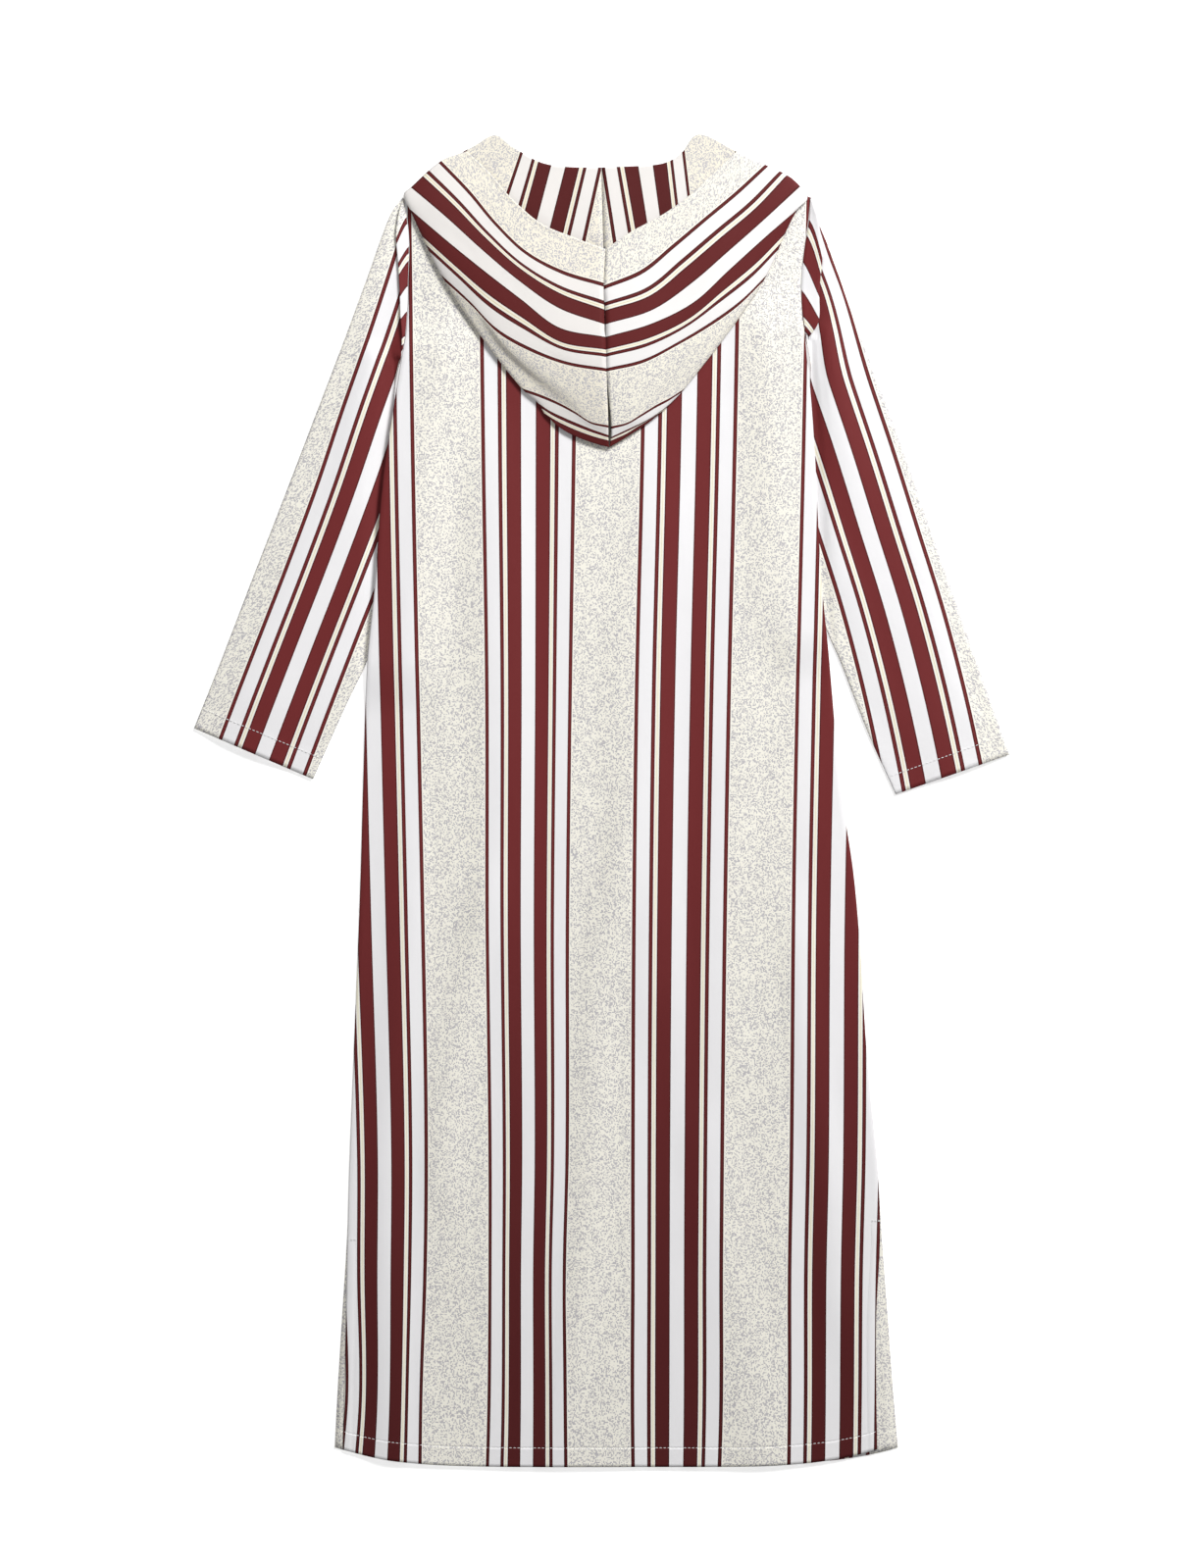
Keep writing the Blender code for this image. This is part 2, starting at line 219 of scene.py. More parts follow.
# Width of the pleat that lies over the top of each sleeve, along its armhole.
LEFT_HEAD = table(
    "level width",
    (640, 0), (618, 9), (600, 13), (560, 10), (535, 8), (515, 6.5), (486, 2), (470, 0),
)
RIGHT_HEAD = table(
    "level width",
    (640, 0), (620, 8), (597, 15.5), (573, 20.5), (552, 20), (535, 19), (507, 15.5), (497, 9), (491, 3),
)

# Soft folds of a sleeve, running along it: share across at armhole and cuff, half width, height, and ends.
LEFT_SLEEVE_FOLDS = table(
    "start_share end_share half_share height start end",
    (0.25, 0.42, 0.22, 1.6, 0.0, 5.0),
    (0.75, 0.80, 0.16, 1.2, 1.5, 8.0),
    (0.40, 0.18, 0.16, 1.0, 3.5, 8.5),
)
RIGHT_SLEEVE_FOLDS = table(
    "start_share end_share half_share height start end",
    (0.30, 0.40, 0.20, 1.8, 0.0, 5.5),
    (0.72, 0.78, 0.16, 1.4, 1.0, 9.0),
    (0.15, 0.22, 0.14, 1.0, 4.0, 9.5),
)

# Lines of equal place on the flat pattern over each half's upper layer, from the centre seam to the side.
LEFT_HOOD_LINES = table(
    "print x0 y0 x1 y1 x2 y2 x3 y3 x4 y4 x5 y5",
    (33, 4, 583, -31, 596, -65, 611, -96, 638, -119, 665, -143, 688),
    (68.5, 2, 547, -41, 560, -80, 581, -112, 612, -139, 645, -170, 678),
    (110, 3, 503, -45, 520, -87, 549, -126, 582, -164, 617, -202, 650),
    (118, 3, 496, -45, 509, -86, 539, -125, 571, -164, 604, -210, 642),
    (126, 4, 489, -45, 499, -85, 529, -125, 560, -164, 592, -203, 626),
    (167.5, 5, 453, -36, 460, -74, 474, -109, 494, -137, 523, -166, 550),
    (236, 7, 397, -12, 401, -29, 412, -47, 422, -65, 430, -85, 437),
    (253.6, 7, 387, -10, 393, -26, 399.5, -43, 407, -56, 413.5, -67, 421),
    (262.2, 7.2, 381.5, -8, 385.5, -22, 390.5, -35, 396, -48, 402.5, -61, 410.5),
    (276, 7.8, 374.4, -6, 378, -23, 384, -36, 390, -48, 398, -57, 407),
)
RIGHT_HOOD_LINES = table(
    "print x0 y0 x1 y1 x2 y2 x3 y3 x4 y4 x5 y5",
    (33, 4, 583, 32, 602, 63, 619, 91, 639, 116, 663, 143, 688),
    (68.5, 2, 544, 42, 561, 75, 588, 108, 616, 141, 644, 173, 674),
    (110, 4, 503, 53, 518, 95, 547, 134, 581, 172, 615, 210, 651),
    (118, 4, 496, 52, 511, 96, 536, 134, 570, 171, 605, 218, 638),
    (126, 4, 489, 52, 503, 97, 526, 134, 560, 171, 594, 208, 627),
    (167.5, 5, 453, 43, 462, 78, 480, 112, 500, 144, 523, 171, 550),
    (236, 10, 396, 27, 400, 42, 409, 58, 419, 73, 427, 88, 437),
    (253.6, 10, 385, 27, 393, 42, 400, 53, 406, 63, 413, 73, 421),
    (262.2, 9, 381, 25, 388, 38, 396, 48, 402, 57, 408, 66, 414),
    (276, 8, 374.4, 21, 382, 33, 389.5, 43, 396, 52, 402.5, 60, 409),
)

# Stripe edges inside the hood, over the nape: place on the flat pattern and x at two levels.
NAPE_UPPER = 680.0
NAPE_LOWER = 580.0
LEFT_NAPE = table(
    "print upper lower", (68.5, -89, -123), (95, -66.5, -93.5), (141, -21.5, -46), (167.5, 2, -20)
)
RIGHT_NAPE = table(
    "print upper lower", (68.5, 89, 101), (95, 68.5, 80), (141, 22, 40), (167.5, -1.5, 13.5)
)

NECK_CENTRE = (-0.5, 671.3)
HOOD_TIP = (7.8, 374.4)
NECK_SHARES = (0.0, 0.25, 0.45, 0.65, 0.82, 1.0)
LEFT_NECK_EDGE = (NECK_CENTRE, (-37, 672), (-65, 677), (-95, 694), (-114, 706), (-143, 688.5))
RIGHT_NECK_EDGE = (NECK_CENTRE, (55, 674), (73, 679), (86, 688.5), (103.5, 707), (143, 688.5))

# Stage, in metres: the longer side of the camera's view, its middle, and the floor's depth.
VIEW_SPAN = 1.663
VIEW_CENTRE = (-0.014, 0.018)
FLOOR_GAP = 0.0005

# --- Curves ---


def ease(value):
    """Ease from 0 to 1 with flat ends."""
    value = min(max(value, 0.0), 1.0)
    return value * value * (3.0 - 2.0 * value)


def mix(first, second, share):
    """Value between two others."""
    return first + (second - first) * share


def hump(distance, half_width):
    """Soft bump: 1 in the middle, 0 beyond its half width."""
    reach = min(abs(distance) / half_width, 1.0)
    return (1 - reach * reach) ** 2


def bend(knots, values, at):
    """Smooth curve through values at rising knots, straight beyond its ends."""
    last = len(knots) - 1
    slopes = [(values[i + 1] - values[i]) / (knots[i + 1] - knots[i]) for i in range(last)]
    if at <= knots[0]:
        return values[0] + slopes[0] * (at - knots[0])
    if at >= knots[last]:
        return values[last] + slopes[last - 1] * (at - knots[last])
    i = next(k for k in range(last) if at <= knots[k + 1])
    step = knots[i + 1] - knots[i]
    start = slopes[i] if i == 0 else (slopes[i - 1] + slopes[i]) / 2
    end = slopes[i] if i == last - 1 else (slopes[i] + slopes[i + 1]) / 2
    t = (at - knots[i]) / step
    u = 1 - t
    return (
        values[i] * u * u * (1 + 2 * t)
        + values[i + 1] * t * t * (1 + 2 * u)
        + step * (start * t * u * u - end * t * t * u)
    )


def straight(knots, values, at):
    """Broken line through values at rising knots, straight beyond its ends."""
    i = 0
    while i < len(knots) - 2 and at > knots[i + 1]:
        i += 1
    share = (at - knots[i]) / (knots[i + 1] - knots[i])
    return mix(values[i], values[i + 1], share)


def read(rows, key, at, name):
    """Column name of a table whose key column falls down its rows, on a smooth curve."""
    knots = [row[key] for row in reversed(rows)]
    values = [row[name] for row in reversed(rows)]
    return bend(knots, values, min(max(at, knots[0]), knots[-1]))


# --- Body ---


@lru_cache(maxsize=None)
def side_edge(name, level):
    """Side edge of the body at a level."""
    return read(SIDE_EDGES, "level", level, name)


@lru_cache(maxsize=None)
def stripe_edges(level):
    """Where the back's stripe edges lie at a level."""
    return [read(BACK_STRIPES, "level", level, f"e{i}") for i in range(len(BACK_PRINT))]


def tuck_share(level, armpit, emerge):
    """How fully the body is lifted at a level: 1 over the tucked sleeve, 0 well above and below it."""
    below_armpit = ease((armpit + TUCK_RAMP - level) / TUCK_RAMP)
    return below_armpit * ease((level - emerge + TUCK_RAMP) / TUCK_RAMP)


def lift(x, level):
    """How far the body is lifted by the sleeves tucked under its sides."""
    level = round(level, 3)
    left = x - side_edge("front_left", level)
    right = side_edge("front_right", level) - x
    height = 0.0
    for inside, armpit, emerge in ((left, ARMPITS[0], EMERGES[0]), (right, ARMPITS[1], EMERGES[1])):
        height += tuck_share(level, armpit, emerge) * (1 - ease((inside - TUCK_REACH) / TUCK_FADE))
    return TUCK_LIFT * height


def fold_height(x, level):
    """Soft folds of the back."""
    height = 0.0
    for fold in BACK_FOLDS:
        share = (fold["top_y"] - level) / (fold["top_y"] - fold["hem_y"])
        middle = mix(fold["top_x"], fold["hem_x"], share) + 7 * sin(level / 95 + fold["top_x"])
        ends = ease(share * 5) * ease((1.12 - share) * 5)
        height += fold["height"] * hump(x - middle, fold["half_width"]) * ends
    return height


def body_height(x, level):
    """Top of the back panel."""
    level = round(level, 3)
    inside = min(x - side_edge("back_left", level), side_edge("back_right", level) - x)
    loft = ease(inside / 45) * ease((SHOULDER_LEVEL + 40 - level) / 60)
    roll = 1 - min(max(inside, 0.0) / EDGE_ROLL, 1.0)
    drape = 0.35 * sin(x / 21 + level / 160) * sin(level / 130 + x / 60) + 0.25 * sin(x / 33 - level / 240)
    return lift(x, level) + BACK_TOP + loft * (1.3 + fold_height(x, level) + drape) - EDGE_DROP * roll * roll


def top_line(x, neck_drop):
    """Height of a panel's top edge over the shoulder level."""
    reach = abs(x - CENTRE_X)
    if reach < NECK_HALF_WIDTH:
        return SHOULDER_RISE - neck_drop * (1 - (reach / NECK_HALF_WIDTH) ** 2) ** 0.5
    return SHOULDER_RISE * max(0.0, HALF_SHOULDER - reach) / (HALF_SHOULDER - NECK_HALF_WIDTH)


def panel_y(x, across, level, neck_drop):
    """Place along a panel of a point at a level, with the raised shoulders and the curved hem."""
    raised = top_line(x, neck_drop) * (1 - ease((SHOULDER_LEVEL - level) / TOP_FADE))
    dropped = HEM_RISE * (1 - abs(2 * across - 1) ** HEM_ROUNDING)
    dropped *= 1 - ease((level - HEM_LEVEL) / HEM_FADE)
    return level + raised - dropped


def hem_step(above_hem, half_width=1.2):
    """Hem: two layers below its row of stitches, which pull a groove into the cloth."""
    turned = 0.45 * ease((HEM_STITCH - above_hem) / 1.5 + 0.5)
    return turned - 0.55 * hump(above_hem - HEM_STITCH, half_width)


# Shares of the grid against places on the cloth, so that hems get closer rows.
BACK_ROWS = ((0.0, 0.02, 0.86, 0.90, 0.985, 1.0), (640.0, 630.0, -655.0, -664.0, -671.0, -687.1))
BACK_COLUMNS = ((0.0, 0.07, 0.93, 1.0), (0.0, 0.025, 0.975, 1.0))


def place_back(across, along):
    """Point of the back panel and its place on the flat pattern, in millimetres."""
    level = round(straight(*BACK_ROWS, along), 3)
    across = straight(*BACK_COLUMNS, across)
    x = mix(side_edge("back_left", level), side_edge("back_right", level), across)
    y = panel_y(x, across, level, BACK_NECK_DROP)
    z = body_height(x, level) + hem_step(level - HEM_LEVEL)
    inside = min(x - side_edge("back_left", level), side_edge("back_right", level) - x)
    vent_top = VENT_TOP_LEFT if x < 0 else VENT_TOP_RIGHT
    if level < vent_top:
        turned = 0.4 * ease((VENT_STITCH - inside) / 1.5 + 0.5) - 0.4 * hump(inside - VENT_STITCH, 1.5)
        z += turned * ease((vent_top - level) / 12)
    across_print = straight(stripe_edges(level), BACK_PRINT, x)
    return (x, y, z), (across_print, level + BACK_START)


def place_front(across, along):
    """Point of the front panel and its place on the flat pattern, in millimetres."""
    level = round(straight(*BACK_ROWS, along), 3)
    left = side_edge("front_left", level)
    x = mix(left, side_edge("front_right", level), across)
    above_hem = level - HEM_LEVEL
    y = panel_y(x, across, level, FRONT_NECK_DROP) + FRONT_SHORTER * (1 - ease(above_hem / 60))
    z = FRONT_TOP + lift(x, level) + 0.2 * ease((HEM_STITCH - above_hem) / 2 + 0.5)
    return (x, y, z), (abs(x - FRONT_CENTRE_X) + FRONT_PRINT_START, level + FRONT_START)


# --- Sleeves ---


class Sleeve:
    """Sizes of one sleeve, and where its points lie."""

    def __init__(self, side, sections, line, head, folds, loft, spread, squeeze, head_print):
        self.side = side
        self.sections = sections
        self.line = line
        self.head = head
        self.folds = folds
        self.full_loft = loft
        self.spread = spread
        self.squeeze = squeeze
        self.head_print = head_print
        self.edge = "front_left" if side < 0 else "front_right"
        self.armpit = ARMPITS[0] if side < 0 else ARMPITS[1]
        self.emerge = EMERGES[0] if side < 0 else EMERGES[1]
        self.knots = list(range(len(sections)))

    def seam_x(self, y):
        """Armhole seam at a height, just clear of the body."""
        return side_edge(self.edge, round(y, 2)) + self.side * ARMHOLE_GAP

    def section(self, position, name):
        """Column name of the sections, on a smooth curve."""
        return bend(self.knots, [row[name] for row in self.sections], position)

    def plan(self, position, share):
        """Plan point. Position counts sections from the armhole, and share runs from outer to inner fold."""
        x = mix(self.section(position, "outer_x"), self.section(position, "inner_x"), share)
        y = mix(self.section(position, "outer_y"), self.section(position, "inner_y"), share)
        at_armhole = max(0.0, 1 - position)
        if at_armhole > 0:
            first = self.sections[0]
            seam_y = mix(first["outer_y"], first["inner_y"], share)
            straight_x = mix(first["outer_x"], first["inner_x"], share)
            x += (self.seam_x(seam_y) - straight_x) * at_armhole
        return x, y

    def printed(self, x, y):
        """Place on the flat pattern of a point of the upper layer."""
        line_x = read(self.line, "level", y, "x")
        squeeze = 1 + self.squeeze * ease((y - 440) / 100)
        across = 68.5 + (x - line_x) * -self.side * self.spread * squeeze
        along = (y + (x - line_x) * self.side * 0.33) / 0.94
        return across, along + SLEEVE_START

    def rise(self, clear, seam_z, full):
        """Height of the upper layer near the armhole, which climbs from the seam to its full height."""
        return mix(seam_z, full, ease((clear + 1) / 30))

    def height(self, position, share):
        """Loft of the upper layer over the lower one, and the distance to the cuff."""
        loft = self.full_loft * sin(pi * min(share / 0.85, 1.0)) ** 1.5 * ease(position / 2.5)
        last = self.knots[-1]
        for fold in self.folds:
            along = (position - fold["start"]) / (fold["end"] - fold["start"])
            middle = mix(fold["start_share"], fold["end_share"], along) + 0.02 * sin(position * 1.9)
            ends = ease(along * 4) * ease((1 - along) * 4)
            loft += fold["height"] * hump(share - middle, fold["half_share"]) * ends
        cuff = (last - position) * SECTION_LENGTH
        loft -= 1.3 * ease((60 - cuff) / 60)
        return loft, cuff

    def place(self, around, along):
        """Point of the sleeve: around from the outer fold over the top to the inner fold and back below."""
        above = around <= 0.5
        turn = around * 2 if above else 2 - around * 2
        share = 0.5 - 0.5 * cos(pi * turn) if 0.0 < turn < 1.0 else turn
        share = mix(share, turn, 0.55)
        closing = (1 - abs(2 * turn - 1) ** 14) ** 0.5
        last = self.knots[-1]
        seam_y = mix(self.sections[0]["outer_y"], self.sections[0]["inner_y"], share)
        floor_z = TUCK_LIFT * tuck_share(seam_y, self.armpit, self.emerge)
        width = read(self.head, "level", seam_y, "width") if above else 0.0
        half = SLEEVE_TOP / 2
        if along < HEAD_ROWS and above:
            step = along / HEAD_ROWS
            out = min(step * 2, 2 - step * 2)
            seam_x = self.seam_x(seam_y)
            x = seam_x + self.side * width * ease(out) ** 0.8
            y = seam_y
            seam_z = SEAM_HEIGHT + floor_z
            full = self.rise(abs(x - seam_x), seam_z, SLEEVE_CLEARANCE + SLEEVE_TOP + floor_z)
            over = mix(0.3, 3.4, ease(out)) if step < 0.5 else mix(0.1, 2.7, ease(out))
            full += over * min(width / 6, 1.0)
            z = half + (full - half) * closing
            print_top, level_top, per_mm = self.head_print
            reach = abs(x - seam_x)
            across = print_top + (level_top - y - 1.2 * reach - 0.045 * reach * reach) * per_mm
            return (x, y, z), (across, y + HEAD_START)
        if along < HEAD_ROWS:
            position = 0.0
        else:
            position = last * (along - HEAD_ROWS) / (1 - HEAD_ROWS)
        x, y = self.plan(position, share)
        loft, cuff = self.height(position, share)
        clear = self.side * (x - side_edge(self.edge, round(y, 1)))
        loft *= mix(ease((clear - 4) / 16), ease((clear - 14) / 50), ease((y - self.armpit) / 20))
        base = SLEEVE_CLEARANCE + half + floor_z * max(0.0, 1 - position)
        turned = 0.3 * ease((CUFF_STITCH - cuff) / 6 + 0.5)
        if above and y > self.armpit:
            full = self.rise(clear, SEAM_HEIGHT + floor_z, base + half + loft)
            z = half + (full - half) * closing
        elif above:
            gap = (1 - ease((clear - 3) / 9)) * ease((self.armpit + 5 - y) / 10) * ease(clear + 2)
            z = base + closing * (half + loft + turned - 2.2 * gap)
        else:
            z = base - closing * half
        across, run = self.printed(x, y)
        if not above:
            edge_x, edge_y = self.plan(position, 0.0)
            edge_print, _ = self.printed(edge_x, edge_y)
            across = 2 * edge_print - across
        return (x, y, z), (across, run)


# head_print: place on the flat pattern at a height of the head's seam, and how fast it changes down it.
SLEEVES = {
    "left": Sleeve(
        -1, LEFT_SLEEVE, LEFT_SLEEVE_LINE, LEFT_HEAD, LEFT_SLEEVE_FOLDS,
        loft=4.2, spread=0.92, squeeze=0.0, head_print=(70.0, 616.7, 0.57),
    ),
    "right": Sleeve(
        1, RIGHT_SLEEVE, RIGHT_SLEEVE_LINE, RIGHT_HEAD, RIGHT_SLEEVE_FOLDS,
        loft=2.8, spread=0.891, squeeze=0.3, head_print=(88.3, 612.6, 0.53),
    ),
}

# --- Hood ---


class HoodHalf:
    """Sizes of one half of the hood, and where its points lie."""

    def __init__(self, side, lines, nape, neck_edge):
        self.side = side
        self.lines = lines
        self.prints = [line["print"] for line in lines]
        self.nape = nape
        self.neck_edge = neck_edge
        self.first = lines[0]["print"]
        self.last = lines[-1]["print"]

    @lru_cache(maxsize=None)
    def line(self, place):
        """Points of the upper layer at one place on the flat pattern, from the centre seam to the side."""
        return [
            (bend(self.prints, [line[f"x{i}"] for line in self.lines], place),
             bend(self.prints, [line[f"y{i}"] for line in self.lines], place))
            for i in range(6)
        ]

    def upper_plan(self, down, across):
        """Plan point of the upper layer."""
        points = self.line(round(mix(self.first, self.last, down), 4))
        knots = list(range(6))
        x = bend(knots, [point[0] for point in points], across * 5)
        y = bend(knots, [point[1] for point in points], across * 5)
        return x, y

    @lru_cache(maxsize=None)
    def fold(self, down):
        """Plan point of the side fold."""
        return self.upper_plan(down, 1.0)

    def under_plan(self, down, across):
        """Plan point of the under layer, whose upper edge is the neck seam."""
        centre_x = mix(NECK_CENTRE[0], HOOD_TIP[0], down) + self.side * 0.15
        centre = (centre_x, mix(NECK_CENTRE[1], HOOD_TIP[1], down))
        keep = (1 - down) ** 2
        plan = []
        for axis in (0, 1):
            edge = [point[axis] for point in self.neck_edge]
            bowed = bend(NECK_SHARES, edge, across) - mix(edge[0], edge[-1], across)
            plan.append(mix(centre[axis], self.fold(down)[axis], across) + bowed * keep)
        return plan

    def nape_print(self, x, y):
        """Place on the flat pattern of a point inside the hood, over the nape."""
        share = (NAPE_UPPER - y) / (NAPE_UPPER - NAPE_LOWER)
        rows = sorted(self.nape, key=lambda row: row["upper"])
        knots = [mix(row["upper"], row["lower"], share) for row in rows]
        return straight(knots, [row["print"] for row in rows], x)

    def hollow(self, down, across):
        """Height between the two layers."""
        ridge = bend(HOOD_RIDGE[0], HOOD_RIDGE[1], down)
        side = bend(HOOD_SIDE[0], HOOD_SIDE[1], down)
        ripple = 0.8 * sin(across * 9 + down * 5) * sin(pi * down) * ease(across * 3) * (1 - across)
        return mix(side, ridge, 1 - across**1.5) + ripple

    def place(self, around, down):
        """Point of the half: from the centre seam over the top, round the side fold, and back below."""
        above = around <= 0.5
        turn = around * 2 if above else 2 - around * 2
        across = mix(sin(turn * pi / 2), turn, 0.45)
        closing = max(0.0, 1 - across**28) ** 0.5
        gap = self.hollow(down, across)
        if above:
            x, y = self.upper_plan(down, across)
            from_face = mix(self.first, self.last, down) - self.first
            seam = abs(x - self.upper_plan(down, 0.0)[0])
            z = body_height(x, y) + HOOD_LIFT + gap / 2 + closing * gap / 2
            z += 0.5 * ease((FACE_HEM - from_face) / 1.0 + 0.5) - 0.45 * hump(from_face - FACE_HEM, 1.2)
            z -= 0.35 * (1 - ease(seam / 1.4))
            reach = across * self.length(round(down, 4))
            printed = (mix(self.first, self.last, down), HOOD_MIDDLE - self.side * reach)
            return (x + self.side * 0.02, y, z), printed
        x, y = self.under_plan(down, across)
        z = body_height(x, y) + HOOD_LIFT + gap / 2 * (1 - closing)
        if down < 0.4:
            z -= 0.5 * (1 - ease(abs(x) / 2.5))
        return (x, y, z), (self.nape_print(x, y), y + NAPE_START)

    @lru_cache(maxsize=None)
    def length(self, down):
        """Length of the upper layer across."""
        points = self.line(round(mix(self.first, self.last, down), 4))
        return sum(hypot(b[0] - a[0], b[1] - a[1]) for a, b in zip(points, points[1:]))


HOOD_HALVES = {
    "left": HoodHalf(-1, LEFT_HOOD_LINES, LEFT_NAPE, LEFT_NECK_EDGE),
    "right": HoodHalf(1, RIGHT_HOOD_LINES, RIGHT_NAPE, RIGHT_NECK_EDGE),
}

# --- Meshes ---


def add_mesh(name, work, material):
    """Object at the origin from a bmesh, riding on the robe's body."""
    mesh = bpy.data.meshes.new(name)
    work.to_mesh(mesh)
    work.free()
    mesh.shade_smooth()
    mesh.materials.append(material)
    piece = bpy.data.objects.new(name, mesh)
    bpy.context.scene.collection.objects.link(piece)
    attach(piece, BODY)
    return piece


def add_cloth(name, columns, rows, place, material, turned):
    """Shell of cloth from a grid. place gives each grid point's place, and its place on the flat pattern."""
    work = bmesh.new()
    bmesh.ops.create_grid(work, x_segments=columns, y_segments=rows, size=0.5)
    flat = {}
    for vertex in work.verts:
        across = round((vertex.co.x + 0.5) * columns) / columns
        along = round((vertex.co.y + 0.5) * rows) / rows
        point, printed = place(across, along)
        flat[vertex] = (printed[0] * MM, printed[1] * MM)
        vertex.co = Vector(point) * MM
    layer = work.loops.layers.uv.new("flat_pattern")
    for face in work.faces:
        for loop in face.loops:
            loop[layer].uv = flat[loop.vert]
    bmesh.ops.remove_doubles(work, verts=work.verts[:], dist=0.02 * MM)
    if turned:
        bmesh.ops.reverse_faces(work, faces=work.faces[:])
    piece = add_mesh(name, work, material)
    wall = piece.modifiers.new("cloth", "SOLIDIFY")
    wall.thickness = bpy.context.scene.robe_cloth.thickness
    wall.offset = -1.0
    wall.use_even_offset = False
    return piece


def add_stitches(name, lines, material, length, gap, radius):
    """Rows of stitches, joined into one mesh. Each line is a list of points in millimetres."""
    work = bmesh.new()
    shape = Matrix.Diagonal((length / 2, radius, radius * 0.8, 1.0))
    for line in lines:
        points = [Vector(point) for point in line]
        travelled = gap
        for start, end in zip(points, points[1:]):
            reach = (end - start).length
            if reach < 1e-6:
                continue
            direction = (end - start) / reach
            turn = direction.to_track_quat("X", "Z").to_matrix().to_4x4()
            while travelled <= reach:
                place = Matrix.Translation(start + direction * travelled)
                matrix = Matrix.Scale(MM, 4) @ (place @ turn @ shape)
                bmesh.ops.create_uvsphere(work, u_segments=6, v_segments=5, radius=1.0, matrix=matrix)
                travelled += length + gap
            travelled -= reach
    return add_mesh(name, work, material)


# --- Materials ---


class Group:
    """Shader node group under construction."""

    def __init__(self, name, inputs, outputs):
        self.tree = bpy.data.node_groups.new(name, "ShaderNodeTree")
        for socket, kind, default in inputs:
            made = self.tree.interface.new_socket(socket, in_out="INPUT", socket_type=kind)
            if default is not None:
                made.default_value = default
        for socket, kind in outputs:
            self.tree.interface.new_socket(socket, in_out="OUTPUT", socket_type=kind)
        self.inputs = self.tree.nodes.new("NodeGroupInput")
        self.outputs = self.tree.nodes.new("NodeGroupOutput")

    def put(self, kind, links, **settings):
        """New node with its settings and links. A link's value is a socket or a constant."""
        return put_node(self.tree, kind, links, **settings)


def put_node(tree, kind, links, **settings):
    """New node of a tree, with its settings and links."""
    node = tree.nodes.new(kind)
    for name, value in settings.items():
        setattr(node, name, value)
    for socket, value in links.items():
        target = node.inputs[socket]
        if isinstance(value, bpy.types.NodeSocket):
            tree.links.new(value, target)
        else:
            target.default_value = value
    return node


def number(group, operation, first, second=0.0, third=0.0):
    """Output of a Math node."""
    return group.put("ShaderNodeMath", {0: first, 1: second, 2: third}, operation=operation).outputs[0]


# Stripes of one repeat of the print, each from its start to its end. Burgundy has a deeper rim.
BURGUNDY_STRIPES = (
    (68.5, 72.5), (86.1, 90.2), (94.7, 110.2), (125.5, 141.0), (145.5, 149.6), (163.4, 167.5),
)
BURGUNDY_MIDDLES = (
    (69.8, 71.2), (87.4, 88.9), (96.1, 108.8), (126.9, 139.6), (146.8, 148.3), (164.7, 166.2),
)
CREAM_STRIPES = ((90.8, 94.1), (141.6, 144.9))
CORDS = ((92.2, 92.7), (143.0, 143.5))
MARGINS = ((0.0, 68.5),)
SPECKLED = ((1.1, 67.4),)


def bands(group, across, stripes, repeat):
    """Mask of these stripes: 1 inside them, 0 outside."""
    total = 0.0
    for start, end in stripes:
        middle = (start + end) / 2 * MM / repeat
        half = (end - start) / 2 * MM / repeat
        total = number(group, "ADD", number(group, "COMPARE", across, middle, half), total)
    return total


def overlay(group, mask, under, over):
    """One colour over another where the mask is 1."""
    links = {"Factor": mask, "A": under, "B": over}
    return group.put("ShaderNodeMix", links, data_type="RGBA").outputs["Result"]


